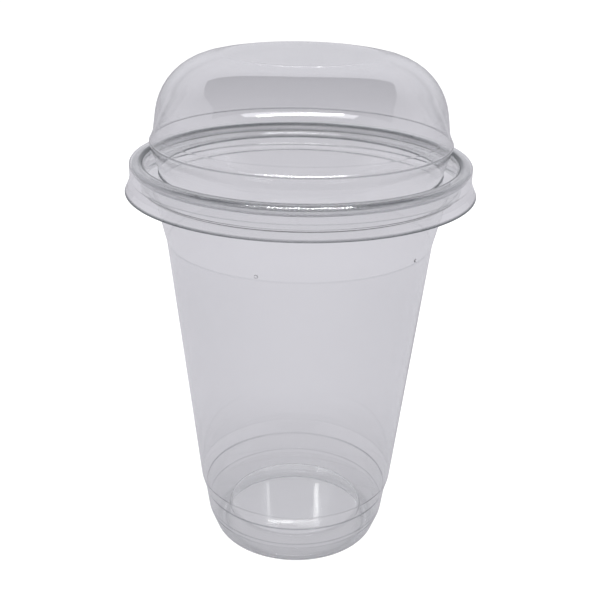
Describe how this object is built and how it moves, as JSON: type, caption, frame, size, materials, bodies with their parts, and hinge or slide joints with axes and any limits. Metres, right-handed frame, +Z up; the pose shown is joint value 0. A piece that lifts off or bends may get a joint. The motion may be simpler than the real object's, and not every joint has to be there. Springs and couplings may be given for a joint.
{
  "type": "plastic cup with lid",
  "caption": "Clear thin-walled tapered drinking cup with a rolled rim, and a clear flat-topped dome lid that lifts off.",
  "frame": {"origin": "middle of the foot ring, in the plane the cup stands on", "axes": "+Z up along the axis that cup and lid are turned about, +X to the right and +Y to the back of the pictured view"},
  "size_m": [0.1, 0.1, 0.15],
  "materials": {
    "cup_plastic": "clear glossy thermoformed sheet, faintly grey where it is seen edge on",
    "lid_plastic": "clear glossy thermoformed sheet, faintly blue grey"
  },
  "bodies": {
    "cup": {"cup": "cup_plastic"},
    "lid": {"lid": "lid_plastic"}
  },
  "joints": [
    {"name": "lid_lift", "type": "slide", "parent": "cup", "child": "lid", "axis": [0, 0, 1], "range_m": [0, 0.05]}
  ]
}
